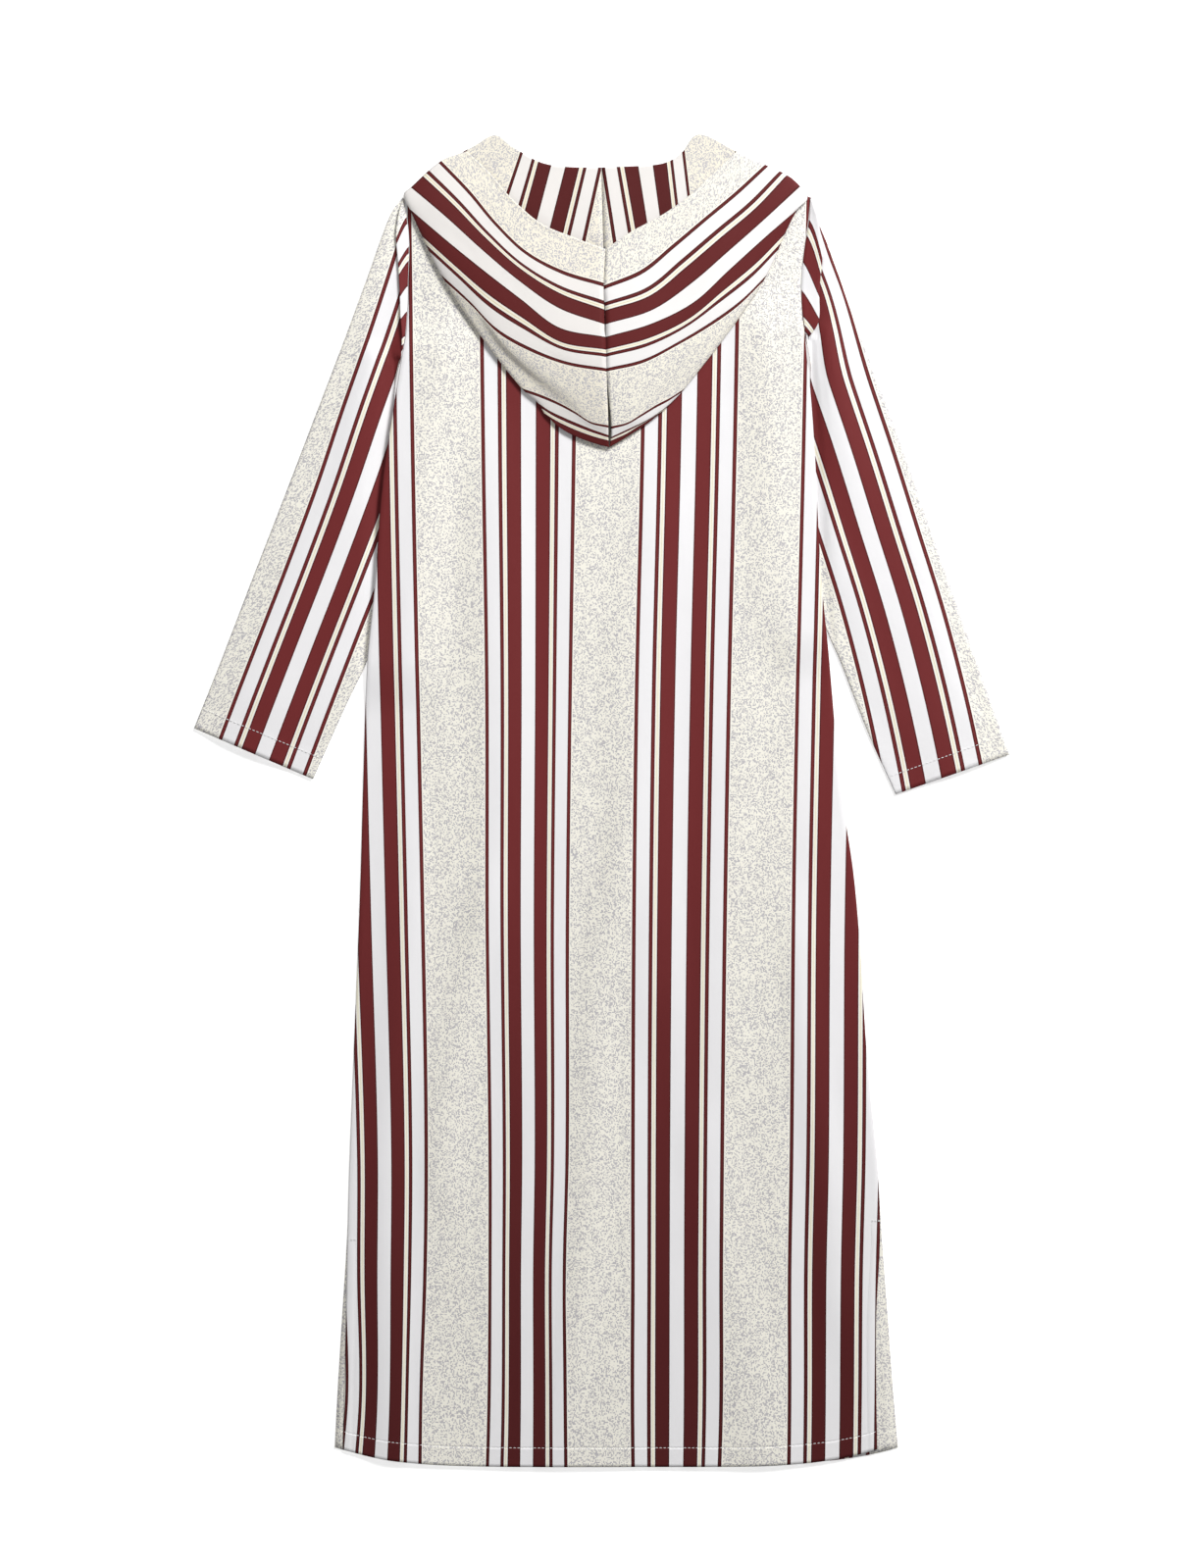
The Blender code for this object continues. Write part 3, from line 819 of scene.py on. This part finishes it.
def make_print_and_shade_group(colours, repeat):
    """Printed stripes and speckles from the place on the flat pattern, with painted shade on the burgundy
    towards the hem and over the hood and its nape.
    """
    group = Group(
        "robe_print_and_painted_shade",
        (("Flat pattern", "NodeSocketVector", None), ("Cell", "NodeSocketFloat", 0.0012)),
        (("Colour", "NodeSocketColor"),),
    )
    flat = group.inputs.outputs["Flat pattern"]
    split = group.put("ShaderNodeSeparateXYZ", {0: flat})
    across = number(group, "FRACT", number(group, "DIVIDE", split.outputs["X"], repeat))
    pale, ground, dash, white, burgundy, cream, cord = colours
    # Burgundy is darkened towards the hem, whose place along the flat pattern is the lowest, as painted
    # shade, and darker still on the hood and its nape, whose places are the highest, as painted shade there
    # too.
    burgundy_painted_shade = group.put(
        "ShaderNodeMapRange",
        {"Value": split.outputs["Y"], "From Min": 0.2, "From Max": 0.95, "To Min": 0.5, "To Max": 1.0},
        interpolation_type="SMOOTHSTEP",
    ).outputs["Result"]
    for start, end, least in ((8.0, 8.5, 0.76), (9.8, 10.0, 0.8)):
        span = {"From Min": start, "From Max": end, "To Min": 1.0, "To Max": least}
        hood_and_nape_painted_shade = group.put("ShaderNodeMapRange", {"Value": split.outputs["Y"], **span}).outputs["Result"]
        burgundy_painted_shade = number(group, "MULTIPLY", burgundy_painted_shade, hood_and_nape_painted_shade)
    # Burgundy colour with its painted shade multiplied in.
    shaded_burgundy = group.put("ShaderNodeVectorMath", {0: burgundy[:3], "Scale": burgundy_painted_shade}, operation="SCALE").outputs[0]
    rim = group.put("ShaderNodeVectorMath", {0: shaded_burgundy, "Scale": 0.62}, operation="SCALE").outputs[0]
    colour = white
    for ink, stripes in (
        (cream, CREAM_STRIPES),
        (cord, CORDS),
        (rim, BURGUNDY_STRIPES),
        (shaded_burgundy, BURGUNDY_MIDDLES),
        (pale, MARGINS),
        (ground, SPECKLED),
    ):
        colour = overlay(group, bands(group, across, stripes, repeat), colour, ink)
    # Both halves of the hood are painted darker and warmer, and the left half and the nape darker still:
    # painted shade of the hood.
    for start, tint in ((8.0, (0.98, 0.97, 0.945)), (9.0, (0.945, 0.93, 0.91))):
        share = number(group, "GREATER_THAN", split.outputs["Y"], start)
        # Colour of the hood with its painted shade.
        hood_shaded_colour = group.put("ShaderNodeVectorMath", {0: colour, 1: tint}, operation="MULTIPLY").outputs[0]
        colour = overlay(group, share, colour, hood_shaded_colour)
    cell = group.inputs.outputs["Cell"]
    noises = []
    for wide, tall, shift in ((1, 1, 0.0), (2, 1, 11.3), (1, 2, 27.7)):
        steps = []
        for axis, size in (("X", wide), ("Y", tall)):
            scaled = number(group, "DIVIDE", split.outputs[axis], cell)
            shifted = number(group, "ADD", scaled, shift)
            steps.append(number(group, "FLOOR", number(group, "DIVIDE", shifted, float(size))))
        joined = group.put("ShaderNodeCombineXYZ", {"X": steps[0], "Y": steps[1], "Z": shift})
        noises.append(group.put("ShaderNodeTexWhiteNoise", {"Vector": joined.outputs[0]}).outputs["Value"])
    single, wide, tall = noises
    dashes = number(group, "MAXIMUM", wide, tall)
    blend = number(group, "MULTIPLY_ADD", single, 0.62, number(group, "MULTIPLY", dashes, 0.38))
    patches = {"Vector": flat, "Scale": 55.0, "Detail": 2.0, "Roughness": 0.6}
    drift = group.put("ShaderNodeTexNoise", patches).outputs["Fac"]
    limit = number(group, "MULTIPLY_ADD", drift, -0.16, 0.735)
    dotted = number(group, "GREATER_THAN", blend, limit)
    dotted = number(group, "MULTIPLY", dotted, bands(group, across, SPECKLED, repeat))
    group.tree.links.new(overlay(group, dotted, colour, dash), group.outputs.inputs["Colour"])
    return group.tree


def make_weave_group():
    """Fine weave, soft wrinkles and slight colour drift of the cloth."""
    group = Group(
        "cloth_weave",
        (("Flat pattern", "NodeSocketVector", None), ("Thread", "NodeSocketFloat", 0.0006)),
        (("Height", "NodeSocketFloat"), ("Drift", "NodeSocketFloat"), ("Roughness", "NodeSocketFloat")),
    )
    flat = group.inputs.outputs["Flat pattern"]
    split = group.put("ShaderNodeSeparateXYZ", {0: flat})
    thread = group.inputs.outputs["Thread"]
    waves = []
    for axis in ("X", "Y"):
        phase = number(group, "MULTIPLY", number(group, "DIVIDE", split.outputs[axis], thread), 2 * pi)
        waves.append(number(group, "SINE", phase))
    weave = number(group, "MULTIPLY", waves[0], waves[1])
    fuzz = group.put("ShaderNodeTexNoise", {"Vector": flat, "Scale": 900.0, "Detail": 2.0}).outputs["Fac"]
    stretched = group.put("ShaderNodeMapping", {"Vector": flat, "Scale": (26.0, 7.0, 1.0)}).outputs[0]
    soft = {"Vector": stretched, "Scale": 1.0, "Detail": 3.0}
    wrinkle = group.put("ShaderNodeTexNoise", soft).outputs["Fac"]
    height = number(group, "MULTIPLY_ADD", weave, 0.00006, number(group, "MULTIPLY", fuzz, 0.00012))
    height = number(group, "MULTIPLY_ADD", wrinkle, 0.0016, height)
    drift = group.put("ShaderNodeTexNoise", {"Vector": flat, "Scale": 14.0, "Detail": 2.0}).outputs["Fac"]
    rough = number(group, "MULTIPLY_ADD", fuzz, 0.14, 0.52)
    for socket, name in ((height, "Height"), (drift, "Drift"), (rough, "Roughness")):
        group.tree.links.new(socket, group.outputs.inputs[name])
    return group.tree


def new_material(name):
    """New material, its node tree and its shader."""
    material = bpy.data.materials.new(name)
    material.use_nodes = True
    return material, material.node_tree, material.node_tree.nodes["Principled BSDF"]


def make_cloth_material(name, groups):
    """Printed cloth: the print's colour with its painted shade, its weave in the normal, and a soft sheen.
    """
    settings = bpy.context.scene.robe_cloth
    material, tree, shader = new_material(name)
    flat = put_node(tree, "ShaderNodeUVMap", {}, uv_map="flat_pattern").outputs["UV"]
    printed = put_node(tree, "ShaderNodeGroup", {}, node_tree=groups["print"])
    printed.inputs["Cell"].default_value = settings.speckle
    weave = put_node(tree, "ShaderNodeGroup", {}, node_tree=groups["weave"])
    weave.inputs["Thread"].default_value = settings.thread
    tree.links.new(flat, printed.inputs["Flat pattern"])
    tree.links.new(flat, weave.inputs["Flat pattern"])
    fade = {"Value": weave.outputs["Drift"], "To Min": 0.955, "To Max": 1.0}
    shade = put_node(tree, "ShaderNodeMapRange", fade).outputs["Result"]
    colour = {0: printed.outputs["Colour"], "Scale": shade}
    tint = put_node(tree, "ShaderNodeVectorMath", colour, operation="SCALE")
    relief = {"Strength": 0.6, "Distance": 1.0, "Height": weave.outputs["Height"]}
    bump = put_node(tree, "ShaderNodeBump", relief)
    tree.links.new(tint.outputs[0], shader.inputs["Base Color"])
    tree.links.new(weave.outputs["Roughness"], shader.inputs["Roughness"])
    tree.links.new(bump.outputs["Normal"], shader.inputs["Normal"])
    shader.inputs["Specular IOR Level"].default_value = 0.12
    shader.inputs["Sheen Weight"].default_value = 0.03
    shader.inputs["Sheen Roughness"].default_value = 0.4
    return material


def make_thread_material():
    """Sewing thread: pale, slightly glossy, with its twist in the normal."""
    material, tree, shader = new_material("sewing_thread")
    place = put_node(tree, "ShaderNodeTexCoord", {}).outputs["Object"]
    twist = {"Vector": place, "Scale": 1500.0, "Detail": 2.0}
    fibres = put_node(tree, "ShaderNodeTexNoise", twist).outputs["Fac"]
    span = {"Value": fibres, "To Min": 0.6, "To Max": 0.85}
    grey = put_node(tree, "ShaderNodeMapRange", span).outputs["Result"]
    mixed = {"Red": grey, "Green": grey, "Blue": grey}
    colour = put_node(tree, "ShaderNodeCombineColor", mixed).outputs["Color"]
    bump = put_node(tree, "ShaderNodeBump", {"Strength": 0.5, "Distance": 0.0002, "Height": fibres})
    tree.links.new(colour, shader.inputs["Base Color"])
    tree.links.new(bump.outputs["Normal"], shader.inputs["Normal"])
    shader.inputs["Roughness"].default_value = 0.55
    return material


INKS = ("pale", "ground", "dash", "white", "burgundy", "cream", "cord")


@lru_cache(maxsize=None)
def cloth_groups():
    """Node groups that every cloth uses, made once."""
    scene = bpy.context.scene
    inks = [(*getattr(scene.robe_colours, ink), 1.0) for ink in INKS]
    return {"print": make_print_and_shade_group(inks, scene.robe_cloth.repeat), "weave": make_weave_group()}


@lru_cache(maxsize=None)
def cloth_material(name):
    """Cloth material of this name, made once."""
    return make_cloth_material(name, cloth_groups())


# --- Settings ---


def size_setting(name, description, default, least, most):
    """Setting that is a length, in metres."""
    return bpy.props.FloatProperty(
        name=name, description=description, default=default, min=least, max=most, subtype="DISTANCE",
        unit="LENGTH",
    )


def power_setting(name, description, default):
    """Setting that is a light's power, in watts."""
    return bpy.props.FloatProperty(
        name=name, description=description, default=default, min=0.0, subtype="POWER", unit="POWER"
    )


def colour_setting(name, description, default):
    """Setting that is a colour, as linear values."""
    return bpy.props.FloatVectorProperty(
        name=name, description=description, default=default, min=0.0, max=1.0, size=3, subtype="COLOR"
    )


class RobeCloth(bpy.types.PropertyGroup):
    """Sizes of the cloth and its print."""

    thickness: size_setting("Thickness", "Thickness of the cloth", 0.0006, 0.0002, 0.002)
    repeat: size_setting("Repeat", "Width of one repeat of the stripes", 0.1675, 0.05, 0.5)
    speckle: size_setting("Speckle", "Width of one dot of the speckled stripe", 0.0012, 0.0005, 0.01)
    thread: size_setting("Thread", "Distance between threads of the weave", 0.0006, 0.0002, 0.005)


class RobeColours(bpy.types.PropertyGroup):
    """Colours of the print, as linear values."""

    pale: colour_setting("Margin", "Line beside the speckled stripe", (0.88, 0.86, 0.80))
    ground: colour_setting("Ground", "Ground of the speckled stripe", (0.85, 0.825, 0.74))
    dash: colour_setting("Dots", "Dots of the speckled stripe", (0.48, 0.465, 0.48))
    white: colour_setting("White", "White stripe", (0.80, 0.79, 0.80))
    burgundy: colour_setting("Burgundy", "Burgundy stripe", (0.150, 0.0205, 0.0215))
    cream: colour_setting("Cream", "Cream stripe", (0.84, 0.81, 0.68))
    cord: colour_setting("Cord", "Line in the middle of the cream stripe", (0.62, 0.56, 0.42))


class RobeStage(bpy.types.PropertyGroup):
    """Light and camera."""

    key: power_setting("Key light", "Power of the large light by the hood", 235.0)
    fill: power_setting("Fill light", "Power of the light across from it", 16.0)
    sky: bpy.props.FloatProperty(
        name="Room light", description="Strength of the light from all round", default=0.24, min=0.0, max=5.0
    )
    lens: bpy.props.FloatProperty(
        name="Lens", description="Focal length of the camera in millimetres", default=85.0, min=20.0,
        max=300.0,
    )


# --- Operators ---


def dress(name, columns, rows, place, material, turned):
    """Cloth of one piece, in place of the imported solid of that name."""
    title = name.replace("_panel", "")
    piece = add_cloth(f"{title}_cloth", columns, rows, place, cloth_material(material), turned)
    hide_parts(name)


class ROBE_OT_body(bpy.types.Operator):
    """Makes the front and back panels"""

    bl_idname = "robe.body"
    bl_label = "Body panels"

    def execute(self, context):
        dress("front_panel", 64, 150, place_front, "speckled_cloth", True)
        dress("back_panel", 128, 300, place_back, "striped_cloth", True)
        return {"FINISHED"}


class ROBE_OT_sleeves(bpy.types.Operator):
    """Makes both sleeves"""

    bl_idname = "robe.sleeves"
    bl_label = "Sleeves"

    def execute(self, context):
        for side, sleeve in SLEEVES.items():
            dress(f"sleeve_{side}", 96, 150, sleeve.place, "sleeve_cloth", side == "left")
        return {"FINISHED"}


class ROBE_OT_hood(bpy.types.Operator):
    """Makes both halves of the hood"""

    bl_idname = "robe.hood"
    bl_label = "Hood"

    def execute(self, context):
        for side, half in HOOD_HALVES.items():
            dress(f"hood_{side}", 110, 130, half.place, "hood_cloth", side == "right")
        return {"FINISHED"}


def raised(point, height):
    """Point moved up."""
    return (point[0], point[1], point[2] + height)


def hem_line(place, along, first, last, count, height):
    """Points along a row of stitches, just over the cloth."""
    return [raised(place(mix(first, last, i / count), along)[0], height) for i in range(count + 1)]


def back_share(level):
    """Share along the back panel's grid at a level."""
    shares, levels = BACK_ROWS
    return straight(levels[::-1], shares[::-1], level)


def vent_lines(side, top):
    """Stitches down one vent, and the bar of three short rows at its head."""
    line = []
    for step in range(61):
        level = mix(top, HEM_LEVEL + HEM_STITCH, step / 60)
        across = VENT_STITCH / (side_edge("back_right", level) - side_edge("back_left", level))
        if side > 0:
            across = 1 - across
        columns, shares = BACK_COLUMNS
        point, _ = place_back(straight(shares, columns, across), back_share(level))
        line.append(raised(point, 0.1))
    x, y, z = line[0]
    bars = [
        [(x + side * reach, y + row, z + 0.25) for reach in (0.0, 3.0, 6.0, VENT_STITCH)]
        for row in (-0.5, 0.0, 0.5)
    ]
    return [line, *bars]


class ROBE_OT_stitches(bpy.types.Operator):
    """Makes the stitches of the hems, cuffs, vents and hood"""

    bl_idname = "robe.stitches"
    bl_label = "Stitches"

    def execute(self, context):
        thread = make_thread_material()
        hem = hem_line(place_back, back_share(HEM_LEVEL + HEM_STITCH), 0.01, 0.99, 200, 0.15)
        add_stitches("hem_stitches", [hem], thread, 3.4, 0.9, 0.4)
        vents = vent_lines(-1, VENT_TOP_LEFT) + vent_lines(1, VENT_TOP_RIGHT)
        add_stitches("vent_stitches", vents, thread, 2.4, 1.0, 0.25)
        for side, sleeve in SLEEVES.items():
            along = 1 - (CUFF_STITCH / SECTION_LENGTH) / sleeve.knots[-1] * (1 - HEAD_ROWS)
            line = hem_line(sleeve.place, along, 0.02, 0.48, 80, 0.3)
            add_stitches(f"cuff_stitches_{side}", [line], thread, 3.4, 0.9, 0.45)
        for side, half in HOOD_HALVES.items():
            down = FACE_HEM / (half.last - half.first)
            line = hem_line(half.place, down, 0.01, 0.46, 120, 0.1)
            add_stitches(f"hood_stitches_{side}", [line], thread, 2.4, 0.9, 0.2)
        return {"FINISHED"}


def add_area_light(name, power, size, place, target):
    """Large soft light that points at a target."""
    light = bpy.data.lights.new(name, "AREA")
    light.energy = power
    light.shape = "RECTANGLE"
    light.size, light.size_y = size
    lamp = bpy.data.objects.new(name, light)
    lamp.location = place
    lamp.rotation_euler = (Vector(target) - Vector(place)).to_track_quat("-Z", "Y").to_euler()
    bpy.context.scene.collection.objects.link(lamp)


class ROBE_OT_cuts(bpy.types.Operator):
    """Finishes without changing anything"""

    bl_idname = "robe.cuts"
    bl_label = "Cut sizes"

    def execute(self, context):
        return {"FINISHED"}


class ROBE_OT_stage(bpy.types.Operator):
    """Makes the floor, the light and the camera"""

    bl_idname = "robe.stage"
    bl_label = "Stage"

    def execute(self, context):
        scene = context.scene
        settings = scene.robe_stage
        work = bmesh.new()
        bmesh.ops.create_grid(work, x_segments=1, y_segments=1, size=6.0)
        mesh = bpy.data.meshes.new("floor")
        work.to_mesh(mesh)
        work.free()
        material, _, shader = new_material("pale_floor")
        shader.inputs["Base Color"].default_value = (0.70, 0.70, 0.70, 1.0)
        shader.inputs["Roughness"].default_value = 0.9
        shader.inputs["Emission Color"].default_value = (1.0, 1.0, 1.0, 1.0)
        shader.inputs["Emission Strength"].default_value = 0.55
        mesh.materials.append(material)
        floor_object = bpy.data.objects.new("floor", mesh)
        floor_object.location.z = -FLOOR_GAP
        scene.collection.objects.link(floor_object)
        add_area_light("key_light", settings.key, (1.5, 1.2), (2.0, 2.8, 2.6), (0.0, 0.1, 0.0))
        add_area_light("fill_light", settings.fill, (2.0, 2.0), (-1.6, -0.6, 2.4), (0.0, 0.0, 0.0))
        world = bpy.data.worlds.new("studio")
        world.use_nodes = True
        backdrop = world.node_tree.nodes["Background"]
        backdrop.inputs["Color"].default_value = (1.0, 1.0, 1.0, 1.0)
        backdrop.inputs["Strength"].default_value = settings.sky
        scene.world = world
        scene.view_settings.view_transform = "Standard"
        view = bpy.data.cameras.new("view")
        view.lens = settings.lens
        view.sensor_width = 36.0
        camera = bpy.data.objects.new("view", view)
        height = VIEW_SPAN * settings.lens / view.sensor_width
        camera.location = (*VIEW_CENTRE, height)
        scene.collection.objects.link(camera)
        scene.camera = camera
        return {"FINISHED"}


OPERATORS = (ROBE_OT_body, ROBE_OT_sleeves, ROBE_OT_hood, ROBE_OT_stitches, ROBE_OT_cuts, ROBE_OT_stage)


class ROBE_PT_panel(bpy.types.Panel):
    """Lists the robe's pieces and settings"""

    bl_idname = "ROBE_PT_panel"
    bl_label = "Striped djellaba robe"
    bl_space_type = "VIEW_3D"
    bl_region_type = "UI"
    bl_category = "Robe"

    def draw(self, context):
        layout = self.layout
        for operator in OPERATORS:
            layout.operator(operator.bl_idname)
        for group in (context.scene.robe_cloth, context.scene.robe_colours, context.scene.robe_stage):
            for name in group.bl_rna.properties.keys():
                if name not in ("name", "rna_type"):
                    layout.prop(group, name)


CLASSES = (RobeCloth, RobeColours, RobeStage, *OPERATORS, ROBE_PT_panel)


def register():
    """Adds the classes and the scene's settings."""
    for kind in CLASSES:
        bpy.utils.register_class(kind)
    bpy.types.Scene.robe_cloth = bpy.props.PointerProperty(type=RobeCloth)
    bpy.types.Scene.robe_colours = bpy.props.PointerProperty(type=RobeColours)
    bpy.types.Scene.robe_stage = bpy.props.PointerProperty(type=RobeStage)


def unregister():
    """Takes them out again."""
    for name in ("robe_stage", "robe_colours", "robe_cloth"):
        delattr(bpy.types.Scene, name)
    for kind in reversed(CLASSES):
        bpy.utils.unregister_class(kind)


def main():
    """Builds the robe and its stage."""
    register()
    bpy.ops.robe.body()
    bpy.ops.robe.sleeves()
    bpy.ops.robe.hood()
    bpy.ops.robe.stitches()
    bpy.ops.robe.cuts()
    bpy.ops.robe.stage()


if __name__ == "__main__":
    main()
